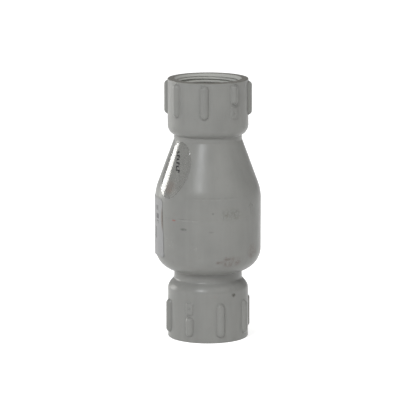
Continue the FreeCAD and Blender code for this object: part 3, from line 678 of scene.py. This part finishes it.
def makeInletShell():
    # one closed outline carried round the axis: the ribbed outside upwards, the inside down,
    # then the thread, with radius = hub joined with ribs + tablet - gate's dimple on the hub
    gateColumns = gate["azimuth"] + np.linspace(-gate["span"], gate["span"], gate["columns"])
    columns = ribColumns(ribs["inletAzimuth"], gateColumns)
    s = shell
    level = s["inletShoulderLevel"]
    shoulder, neckStart = wallCorner(s["hubRadius"], s["inletShoulder"], s["neckRadius"], level, 1)
    dome, neckEnd = wallCorner(chamberRadius, s["domeRadius"], s["neckRadius"], s["domeLevel"], -1)
    bore = chamberRadius - s["wall"]
    bowl, foot = wallCorner(bore, s["domeRadius"] - s["wall"], s["seatFoot"], s["domeLevel"], -1)
    chamfer = s["seamChamfer"]
    outer = roundedPath([
        (s["mouthRadius"] - thread["first"], thread["first"], 0.0),
        (s["mouthRadius"], 0.0, 0.0),
        (s["hubRadius"], 0.0, s["mouthRounding"]),
        (shoulder[0], shoulder[1], shoulder[2], s["hubStep"]),
        (s["neckRadius"], neckStart, s["creaseRounding"], s["creaseStep"]),
        (s["neckRadius"], neckEnd, s["creaseRounding"], s["creaseStep"]),
        (*dome, s["curveStep"]),
        (chamberRadius, seamLevel - chamfer, 0.0),
        (chamberRadius - chamfer, seamLevel, 0.0),
    ], arcTurn=4.0)
    outer = easeCrease(outer, neckStart, s["creaseReach"], s["creasePasses"])
    inner = roundedPath([
        (chamberRadius - s["socketWall"], seamLevel, 0.0),
        (chamberRadius - s["socketWall"], spiderLow[2], 0.0),
        (bore, spiderLow[2], 0.0),
        bowl,
        (s["seatFoot"], foot, s["footRounding"]),
        (s["seatLipOuter"], sealLow[2], s["seatRounding"]),
        (s["throatRadius"], sealLow[2], s["seatRounding"]),
        (s["throatRadius"], thread["last"] + thread["runout"], s["throatRounding"]),
        (thread["minorRadius"] - thread["taper"] * thread["last"], thread["last"], 0.0),
    ])
    radius, height, azimuth = aroundAxis(outer, columns)
    onHub = (height > ribs["mouthMargin"]) & (height < level + ribs["shoulderMargin"])
    ribbed = ribbedRadius(radius, azimuth, height, ribs["inletAzimuth"], ribs["inletLow"], ribs["inletHigh"],
                          ribs["inletShort"], ribs["inletLow"], ribs["inletShortEnd"])
    ribbed = ribbed + tabletRelief(azimuth, height, ribs["inletShort"], tablet["inletLevel"])
    halfTurn = s["hubRadius"] * math.pi
    across = s["hubRadius"] * (azimuth - math.radians(gate["azimuth"]))
    across = (across + halfTurn) % (2.0 * halfTurn) - halfTurn
    away = np.hypot(across, height - gate["level"])
    ribbed = ribbed - gate["depth"] * easeStep(gate["edge"] - away / gate["radius"])
    radius = np.where(onHub, ribbed, radius)
    points = np.concatenate((
        cylinderPoints(azimuth, radius, height),
        cylinderPoints(columns[None, :], inner[:, :1], inner[:, 1:]),
        threadRows(columns, thread["last"], thread["first"], 0.0),
    ))
    return gridPiece("inletShell", points, shellPvc, "valve_shell", ["inlet_body"], loop=True)


def makeOutletShell():
    # as the inlet's, upside down, with a cone: its wall's corner is wall * tan(angle / 2) lower
    columns = ribColumns(ribs["outletAzimuth"])
    s = shell
    cone = math.tan(math.radians(s["coneAngle"]))
    level = s["outletShoulderLevel"]
    shoulder, neckEnd = wallCorner(s["hubRadius"], s["outletShoulder"], s["neckRadius"], level, -1)
    blendTop = s["blendLevel"] + s["blendRadius"] * math.tan(math.radians(s["coneAngle"] / 2))
    neckStart = blendTop + (chamberRadius - s["neckRadius"]) / cone
    bore = chamberRadius - s["wall"]
    innerRise = s["wall"] * math.tan(math.radians(s["coneAngle"] / 2))
    innerCorner = blendTop - innerRise
    innerNeck = innerCorner + (bore - s["throatRadius"]) / cone
    spigotRadius = chamberRadius - s["socketWall"] - s["cementGap"]
    chamfer = s["seamChamfer"]
    outer = roundedPath([
        (chamberRadius - chamfer, seamLevel, 0.0),
        (chamberRadius, seamLevel + chamfer, 0.0),
        (chamberRadius, blendTop, s["blendRadius"]),
        (s["neckRadius"], neckStart, s["coneRounding"]),
        (s["neckRadius"], neckEnd, s["creaseRounding"]),
        (*shoulder, s["curveStep"]),
        (s["hubRadius"], topLevel, s["mouthRounding"], s["hubStep"]),
        (s["mouthRadius"], topLevel, 0.0),
        (s["mouthRadius"] - thread["first"], topLevel - thread["first"], 0.0),
    ], arcTurn=5.0)
    inner = roundedPath([
        (thread["minorRadius"] - thread["taper"] * thread["last"], topLevel - thread["last"], 0.0),
        (s["throatRadius"], topLevel - thread["last"] - thread["runout"], s["throatRounding"]),
        (s["throatRadius"], innerNeck, s["innerNeckRounding"]),
        (bore, innerCorner, s["innerBlend"]),
        (bore, outletLow[2], s["spigotRounding"]),
        (spigotRadius, outletLow[2], s["spigotRounding"]),
        (spigotRadius, seamLevel, 0.0),
    ])
    radius, height, azimuth = aroundAxis(outer, columns)
    high = topLevel - ribs["outletHighMargin"]
    low = high - ribs["length"]
    ribbed = ribbedRadius(radius, azimuth, height, ribs["outletAzimuth"], low, high,
                          ribs["outletShort"], high - ribs["shortLength"], high)
    ribbed = ribbed + tabletRelief(azimuth, height, ribs["outletShort"], topLevel - tablet["outletDepth"])
    onHub = (height > level - ribs["shoulderMargin"]) & (height < topLevel - ribs["mouthMargin"])
    radius = np.where(onHub, ribbed, radius)
    points = np.concatenate((
        cylinderPoints(azimuth, radius, height),
        threadRows(columns, topLevel - thread["first"], topLevel - thread["last"], topLevel),
        cylinderPoints(columns[None, :], inner[:, :1], inner[:, 1:]),
    ))
    return gridPiece("outletShell", points, shellPvc, "valve_shell", ["outlet_body"], loop=True)


inletShell = makeInletShell()
outletShell = makeOutletShell()
print("shells done", len(inletShell.data.polygons), len(outletShell.data.polygons))


# Turned and moulded pieces inside.

poppetLow, poppetHigh = nodeBox("poppet")
stemLow, stemHigh = nodeBox("poppet_stem")
retainerLow, retainerHigh = nodeBox("seal_retainer")
bushLow, bushHigh = nodeBox("guide_bush")
springLow, springHigh = nodeBox("spring")

head = {
    "rimWall": 1.4, "recessLevel": 58.12, "rimEdge": 60.62, "headTop": 62.12, "slopeFoot": 15.0,
    "bossRadius": 6.8, "bossLevel": 74.92, "stemRadius": 5.0, "stemSeat": 5.05, "holeRadius": 2.4,
    "holeEnd": 76.02,
}
sealBore = 8.0
nose = {
    "noseRadius": 7.6, "recessRadius": 5.3, "recessLevel": 52.02, "holeRadius": 2.7, "spigotRadius": 8.0,
    "flangeLevel": 52.92,
}
bush = {"bore": 5.05, "sleeveRadius": 6.5, "flangeHeight": 1.2}

lathePiece("valvePoppet", [
    (head["stemSeat"], head["recessLevel"], 0.15),
    (poppetHigh[0] - head["rimWall"], head["recessLevel"], 0.2),
    (poppetHigh[0] - head["rimWall"], poppetLow[2], 0.3),
    (poppetHigh[0], poppetLow[2], 0.5),
    (poppetHigh[0], head["rimEdge"], 0.9),
    (head["slopeFoot"], head["headTop"], 1.5),
    (head["stemSeat"], head["headTop"], 0.2),
], innerPvc, "poppet_set", ["poppet"])
lathePiece("poppetStem", [
    (0.0, head["holeEnd"], 0.0),
    (head["holeRadius"], head["holeEnd"], 0.0),
    (head["holeRadius"], stemLow[2], 0.2),
    (head["stemRadius"], stemLow[2], 0.2),
    (head["stemRadius"], head["headTop"], 0.0),
    (head["bossRadius"], head["headTop"], 0.3),
    (head["bossRadius"], head["bossLevel"], 0.4),
    (head["stemRadius"], head["bossLevel"], 0.1),
    (head["stemRadius"], stemHigh[2], 1.0),
    (0.0, stemHigh[2], 0.0),
], innerPvc, "poppet_set", ["poppet_stem"], closed=False)
lathePiece("sealRing", [
    (sealBore, sealLow[2], 0.2),
    (sealHigh[0], sealLow[2], 0.35),
    (sealHigh[0], sealHigh[2], 0.2),
    (sealBore, sealHigh[2], 0.2),
], sealRubber, "poppet_set", ["poppet_seal"])
lathePiece("noseCone", [
    (nose["holeRadius"], retainerHigh[2], 0.1),
    (nose["holeRadius"], nose["recessLevel"], 0.1),
    (nose["recessRadius"], nose["recessLevel"], 0.15),
    (nose["recessRadius"], retainerLow[2], 0.3),
    (nose["noseRadius"], retainerLow[2], 0.9),
    (retainerHigh[0], nose["flangeLevel"], 0.6),
    (retainerHigh[0], sealLow[2], 0.2),
    (nose["spigotRadius"], sealLow[2], 0.1),
    (nose["spigotRadius"], retainerHigh[2], 0.2),
], innerPvc, "poppet_set", ["seal_retainer"])
lathePiece("stemBush", [
    (bush["bore"], bushLow[2], 0.3),
    (bush["sleeveRadius"], bushLow[2], 0.3),
    (bush["sleeveRadius"], bushHigh[2] - bush["flangeHeight"], 0.1),
    (bushHigh[0], bushHigh[2] - bush["flangeHeight"], 0.3),
    (bushHigh[0], bushHigh[2], 0.4),
    (bush["bore"], bushHigh[2], 0.4),
], acetal, "valve_shell", ["guide_bush"])


def makeWasher(name, washer, body, node):
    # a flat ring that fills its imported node's box, with rounded edges
    low, high = nodeBox(node)
    lathePiece(name, [
        (washer["bore"], low[2], washer["rounding"]),
        (high[0], low[2], washer["rounding"]),
        (high[0], high[2], washer["rounding"]),
        (washer["bore"], high[2], washer["rounding"]),
    ], stainless, body, [node])


makeWasher("screwWasher", {"bore": 2.55, "rounding": 0.12}, "poppet_set", "screw_washer")
makeWasher("springWasher", {"bore": 7.2, "rounding": 0.12}, "valve_shell", "spring_washer")
print("turned pieces done")


# in degrees: what counts as flat, as an edge to round and as a crease of the finished copy
copyTurns = {"flat": 0.6, "edge": 35.0, "crease": 30.0}


def roundedCopy(name, node, material, body, width, segments):
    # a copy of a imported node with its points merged, flat faces joined and edges rounded
    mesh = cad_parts[node].data.copy()
    mesh.materials.clear()
    work = bmesh.new()
    work.from_mesh(mesh)
    bmesh.ops.remove_doubles(work, verts=work.verts, dist=mergeReach["packed"])
    flat = math.radians(copyTurns["flat"])
    bmesh.ops.dissolve_limit(work, angle_limit=flat, verts=work.verts, edges=work.edges)
    work.to_mesh(mesh)
    work.free()
    mesh.name = name
    piece = finishMesh(name, mesh, material, body, [node], copyTurns["crease"])
    bevel = piece.modifiers.new("roundedEdges", "BEVEL")
    bevel.width = width * mm
    bevel.segments = segments
    bevel.limit_method = "ANGLE"
    bevel.angle_limit = math.radians(copyTurns["edge"])
    bevel.harden_normals = True


roundedCopy("webbedGuide", "guide_spider", innerPvc, "valve_shell", 0.35, 3)
roundedCopy("crossScrew", "retainer_screw", stainless, "poppet_set", 0.1, 2)

# round sections and strokes stay smooth under this many degrees
wireCrease = 60.0
coil = {
    "wireRadius": 0.6, "meanRadius": 9.4, "activeTurns": 5, "closedPitch": 1.3, "start": 90.0,
    "perTurn": 72, "around": 16, "easeSteps": 12,
}


def makeSpring():
    # a round wire carried along a helix: one closed turn at each end, the rest evenly pitched,
    # with height = the sum of pitch over the turns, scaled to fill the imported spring's box
    turns = coil["activeTurns"] + 2
    turn = np.linspace(0.0, turns, turns * coil["perTurn"] + 1)
    low = springLow[2] + coil["wireRadius"]
    high = springHigh[2] - coil["wireRadius"]
    activeRise = (high - low - 2.0 * coil["closedPitch"]) / coil["activeTurns"]
    pitch = np.where((turn < 1.0) | (turn > turns - 1.0), coil["closedPitch"], activeRise)
    soft = np.ones(coil["easeSteps"]) / coil["easeSteps"]
    pitch = np.convolve(np.pad(pitch, len(soft), mode="edge"), soft, mode="same")[len(soft):-len(soft)]
    height = np.concatenate(([0.0], np.cumsum((pitch[1:] + pitch[:-1]) / 2 * np.diff(turn))))
    height = low + height * (high - low) / height[-1]
    azimuth = math.radians(coil["start"]) + 2.0 * math.pi * turn
    centre = cylinderPoints(azimuth, coil["meanRadius"], height)
    along = np.gradient(centre, axis=0)
    along /= np.linalg.norm(along, axis=1, keepdims=True)
    outward = cylinderPoints(azimuth, 1.0, np.zeros_like(azimuth))
    upward = np.cross(outward, along)
    swing = np.linspace(0.0, 2.0 * math.pi, coil["around"] + 1)[None, :, None]
    ring = outward[:, None, :] * np.cos(swing) + upward[:, None, :] * np.sin(swing)
    tube = centre[:, None, :] + ring * coil["wireRadius"]
    caps = [np.repeat(centre[end][None, None, :], coil["around"] + 1, axis=1) for end in (0, -1)]
    points = np.concatenate((caps[0], tube, caps[1]))
    return gridPiece("returnSpring", points, springWire, "valve_shell", ["spring"],
                     crease=wireCrease)


returnSpring = makeSpring()
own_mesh(returnSpring)
print("spring done")


# Marks and labels on the outside.

ovalLow, ovalHigh = nodeBox("oval_label")
paperLow, paperHigh = nodeBox("paper_label")
sticker = {
    "azimuth": -50.0, "width": 27.0, "height": 39.4, "thickness": 0.15, "sink": 0.1,
    "rings": 25, "around": 96, "rimShare": (0.996, 1.0, 1.0, 0.996), "rimLift": (1.0, 0.75, 0.0, 0.0),
}
paper = {
    "azimuth": -83.5, "span": 52.0, "thickness": 0.24, "gap": 0.01, "corner": 2.2, "tilt": 3.0, "cells": 60,
}


def shellRadius(level):
    # the outside of the chamber by height: dome arc, upright wall, blend arc, straight cone
    s = shell
    angle = math.radians(s["coneAngle"])
    below = np.minimum(level - s["domeLevel"], 0.0)
    dome = chamberRadius - s["domeRadius"] + np.sqrt(np.maximum(s["domeRadius"] ** 2 - below ** 2, 0.0))
    rise = np.maximum(level - s["blendLevel"], 0.0)
    capped = np.minimum(rise, s["blendRadius"] * math.sin(angle))
    drop = s["blendRadius"] - np.sqrt(s["blendRadius"] ** 2 - capped ** 2)
    return dome - drop - (rise - capped) * math.tan(angle)


raised = {
    "stroke": 0.95, "relief": 0.26, "sunk": 0.3, "runStep": 0.7, "arcTurn": 20.0, "around": 16,
    "capTurns": (-90.0, -70.0, -46.0, -22.0),
}
sizeMark = {"azimuth": 26.0, "level": 95.2, "places": (-5.8, -3.3, -1.0, 1.5, 4.6)}
flowMark = {"azimuth": 54.0, "level": 97.6}
digitOne = [(-0.9, 1.5, 0.0), (0.1, 2.5, 0.15), (0.1, -2.5, 0.0)]
digitTwo = [
    (-1.3, 1.1, 0.0), (-1.3, 2.5, 1.2), (1.3, 2.5, 1.2), (1.3, 0.6, 0.9), (-1.3, -2.5, 0.2), (1.4, -2.5, 0.0),
]
dash = [(-0.7, 0.0, 0.0), (0.7, 0.0, 0.0)]
slash = [(-1.1, -2.6, 0.0), (1.1, 2.6, 0.0)]
arrowShaft = [(0.0, -4.4, 0.0), (0.0, 4.2, 0.0)]
arrowHead = [(-2.3, 1.5, 0.0), (0.0, 4.4, 0.2), (2.3, 1.5, 0.0)]


def markStroke(corners, azimuth, level):
    # a raised line: a flat oval section carried along a path and wrapped round the wall, with
    # its ends closed by round caps, where the section shrinks as the root of 1 - t^2
    half = raised["stroke"] / 2
    path = roundedPath(corners, raised["runStep"], raised["arcTurn"])
    ways = np.gradient(path, axis=0)
    ways /= np.linalg.norm(ways, axis=1, keepdims=True)
    cap = np.sin(np.radians(raised["capTurns"]))
    first = path[:1] + ways[:1] * half * cap[:, None]
    last = path[-1:] - ways[-1:] * half * cap[::-1, None]
    line = np.concatenate((first, path, last))
    ways = np.pad(ways, ((len(cap), len(cap)), (0, 0)), mode="edge")
    size = np.sqrt(1.0 - cap ** 2)
    size = np.concatenate((size, np.ones(len(path)), size[::-1]))[:, None]
    side = np.stack((-ways[:, 1], ways[:, 0]), axis=-1)
    swing = np.linspace(0.0, 2.0 * math.pi, raised["around"] + 1)[None, :]
    across = half * np.cos(swing) * size
    lift = np.where(np.sin(swing) > 0.0, raised["relief"], raised["sunk"]) * np.sin(swing) * size
    flat = line[:, None, :] + side[:, None, :] * across[..., None]
    height = level + flat[..., 1]
    turned = math.radians(azimuth) + flat[..., 0] / chamberRadius
    return cylinderPoints(turned, shellRadius(height) + lift, height)


def makeRaisedMarks():
    # the thread's size in numbers and a flow arrow, moulded in one with the upper shell
    grids = []
    for place, corners in zip(sizeMark["places"], (digitOne, dash, digitOne, slash, digitTwo)):
        moved = [(across + place, up, rounding) for across, up, rounding in corners]
        grids.append(markStroke(moved, sizeMark["azimuth"], sizeMark["level"]))
    for corners in (arrowShaft, arrowHead):
        grids.append(markStroke(corners, flowMark["azimuth"], flowMark["level"]))
    gridPiece("raisedMarks", grids, shellPvc, "valve_shell", crease=wireCrease)


makeRaisedMarks()
print("raised marks done")


def makeOvalLabel():
    # a disc grid, rings by turns, wrapped on the cone: the film's face, its rounded rim and its back
    middle = (ovalLow[2] + ovalHigh[2]) / 2
    face = np.linspace(0.0, 1.0, sticker["rings"] + 1)[:-1]
    share = np.concatenate((face, sticker["rimShare"], face[::-1]))
    lift = np.concatenate((np.ones(len(face)), sticker["rimLift"], np.zeros(len(face))))
    turn = np.linspace(0.0, 2.0 * math.pi, sticker["around"] + 1)
    across = share[:, None] * np.sin(turn)[None, :] * sticker["width"] / 2
    up = share[:, None] * np.cos(turn)[None, :] * sticker["height"] / 2
    level = middle + up
    base = shellRadius(level)
    radius = base - sticker["sink"] + lift[:, None] * (sticker["thickness"] + sticker["sink"])
    azimuth = math.radians(sticker["azimuth"]) + np.arcsin(across / base)
    points = cylinderPoints(azimuth, radius, level)
    uv = np.stack((across / sticker["width"] + 0.5, up / sticker["height"] + 0.5), axis=-1)
    gridPiece("ovalSticker", points, clearFilm, "valve_shell", ["oval_label"], uv=uv)


def makePaperLabel():
    # a stiff sheet bent round the chamber, slightly askew, with rounded corners: a grid for its
    # face and one for its back, joined over their edges into one closed skin
    middle = (paperLow[2] + paperHigh[2]) / 2
    tall = (paperHigh[2] - paperLow[2]) / 2
    wide = math.radians(paper["span"]) / 2 * chamberRadius
    share = np.sin(np.linspace(-math.pi / 2, math.pi / 2, paper["cells"] + 1))
    up = tall * share[:, None] + np.zeros((1, len(share)))
    cornerDrop = np.maximum(np.abs(up) - tall + paper["corner"], 0.0)
    halfWide = wide - paper["corner"] + np.sqrt(np.maximum(paper["corner"] ** 2 - cornerDrop ** 2, 0.0))
    across = share[None, :] * halfWide
    azimuth = math.radians(paper["azimuth"]) + (across - math.radians(paper["tilt"]) * up) / chamberRadius
    level = middle + up
    inner = np.minimum(shellRadius(np.maximum(level, shell["domeLevel"])), chamberRadius)
    face = cylinderPoints(azimuth, inner + paper["thickness"], level)
    back = cylinderPoints(azimuth, inner + paper["gap"], level)
    low = back[:1]
    high = back[-1:]
    front = np.concatenate((low, face, high))
    left = front[:, :1].copy()
    right = front[:, -1:].copy()
    left[1:-1] = back[:, :1]
    right[1:-1] = back[:, -1:]
    front = np.concatenate((left, front, right), axis=1)
    rear = np.concatenate((low, back, high))
    rear = np.concatenate((rear[:, :1], rear, rear[:, -1:]), axis=1)[:, ::-1]
    points = np.concatenate((front, rear), axis=1)
    u = np.clip(across / (2.0 * wide) + 0.5, 0.0, 1.0)
    v = np.clip(up / (2.0 * tall) + 0.5, 0.0, 1.0)
    flat = np.pad(np.stack((u, v), axis=-1), ((1, 1), (1, 1), (0, 0)), mode="edge")
    uv = np.concatenate((flat, np.zeros_like(flat)), axis=1)
    gridPiece("paperLabel", points, labelPaper, "valve_shell", ["paper_label"], uv=uv)


makeOvalLabel()
makePaperLabel()
print("labels done")


# Camera, floor and light.

view = {"distance": 2.223, "elevation": 10.54, "aim": 0.09363, "lens": 266.8, "farEnd": 60.0}
rise = math.radians(view["elevation"])
camera = bpy.data.cameras.new("camera")
camera.lens = view["lens"]
camera.clip_end = view["farEnd"]
cameraObject = bpy.data.objects.new("camera", camera)
aimPoint = np.array([0.0, 0.0, view["aim"]])
cameraObject.location = aimPoint + view["distance"] * np.array([0.0, -math.cos(rise), math.sin(rise)])
cameraObject.rotation_euler = (math.pi / 2 - rise, 0.0, 0.0)
bpy.context.scene.collection.objects.link(cameraObject)
bpy.context.scene.camera = cameraObject
bpy.context.scene.view_settings.view_transform = "Standard"

paint = {"reach": 9.0, "grey": (0.6, 0.6, 0.6, 1.0), "roughness": 0.9, "glow": 0.66}
reach = paint["reach"]
floorMesh = bpy.data.meshes.new("floor")
floorCorners = [(-reach, -reach, 0), (reach, -reach, 0), (reach, reach, 0), (-reach, reach, 0)]
floorMesh.from_pydata(floorCorners, [], [(0, 1, 2, 3)])
floor = bpy.data.objects.new("floor", floorMesh)
bpy.context.scene.collection.objects.link(floor)
floorMaterial = bpy.data.materials.new("floorPaint")
floorMaterial.use_nodes = True
floorShader = floorMaterial.node_tree.nodes["Principled BSDF"]
floorShader.inputs["Base Color"].default_value = paint["grey"]
floorShader.inputs["Roughness"].default_value = paint["roughness"]
floorShader.inputs["Emission Color"].default_value = (1.0, 1.0, 1.0, 1.0)
floorShader.inputs["Emission Strength"].default_value = paint["glow"]
floorMesh.materials.append(floorMaterial)

studio = {"low": 0.4, "high": 0.36, "turnover": 0.8}
world = bpy.data.worlds.new("studio")
world.use_nodes = True
sky = world.node_tree
way = sky.nodes.new("ShaderNodeTexCoord")
skyParts = sky.nodes.new("ShaderNodeSeparateXYZ")
sky.links.new(way.outputs["Generated"], skyParts.inputs["Vector"])
glow = spread(sky, skyParts.outputs["Z"], 0.0, studio["turnover"], studio["low"], studio["high"])
sky.links.new(glow, sky.nodes["Background"].inputs["Strength"])
sky.nodes["Background"].inputs["Color"].default_value = (1.0, 1.0, 1.0, 1.0)
bpy.context.scene.world = world

# each lamp stands at an azimuth and an elevation from the middle of the valve
lamps = (
    {"name": "keySoftbox", "azimuth": -22.0, "elevation": 38.0, "distance": 6.0,
     "size": (1.45, 1.6), "power": 252.0, "color": (0.95, 0.975, 1.0)},
    {"name": "fillSoftbox", "azimuth": 42.0, "elevation": 45.0, "distance": 5.0,
     "size": (4.0, 4.0), "power": 92.0, "color": (1.0, 0.99, 0.96)},
    {"name": "leftSoftbox", "azimuth": -70.0, "elevation": 0.0, "distance": 4.0,
     "size": (3.0, 3.0), "power": 24.0, "color": (1.0, 0.995, 0.97)},
    {"name": "sideSoftbox", "azimuth": -121.0, "elevation": 9.0, "distance": 2.0,
     "size": (0.65, 0.75), "power": 14.0, "color": (1.0, 0.99, 0.95)},
)


def addLamp(lamp):
    # a soft lamp at distance * (azimuth, elevation) from the aim point, turned to face it
    light = bpy.data.lights.new(lamp["name"], "AREA")
    light.shape = "RECTANGLE"
    light.size, light.size_y = lamp["size"]
    light.energy = lamp["power"]
    light.color = lamp["color"]
    holder = bpy.data.objects.new(lamp["name"], light)
    swing = math.radians(lamp["azimuth"])
    tilt = math.radians(lamp["elevation"])
    away = lamp["distance"] * cylinderPoints(swing, math.cos(tilt), math.sin(tilt))
    holder.location = aimPoint + away
    lean = math.atan2(math.hypot(away[0], away[1]), away[2])
    holder.rotation_euler = (lean, 0.0, math.atan2(-away[1], -away[0]) - math.pi / 2)
    bpy.context.scene.collection.objects.link(holder)


for lamp in lamps:
    addLamp(lamp)
print("studio done")
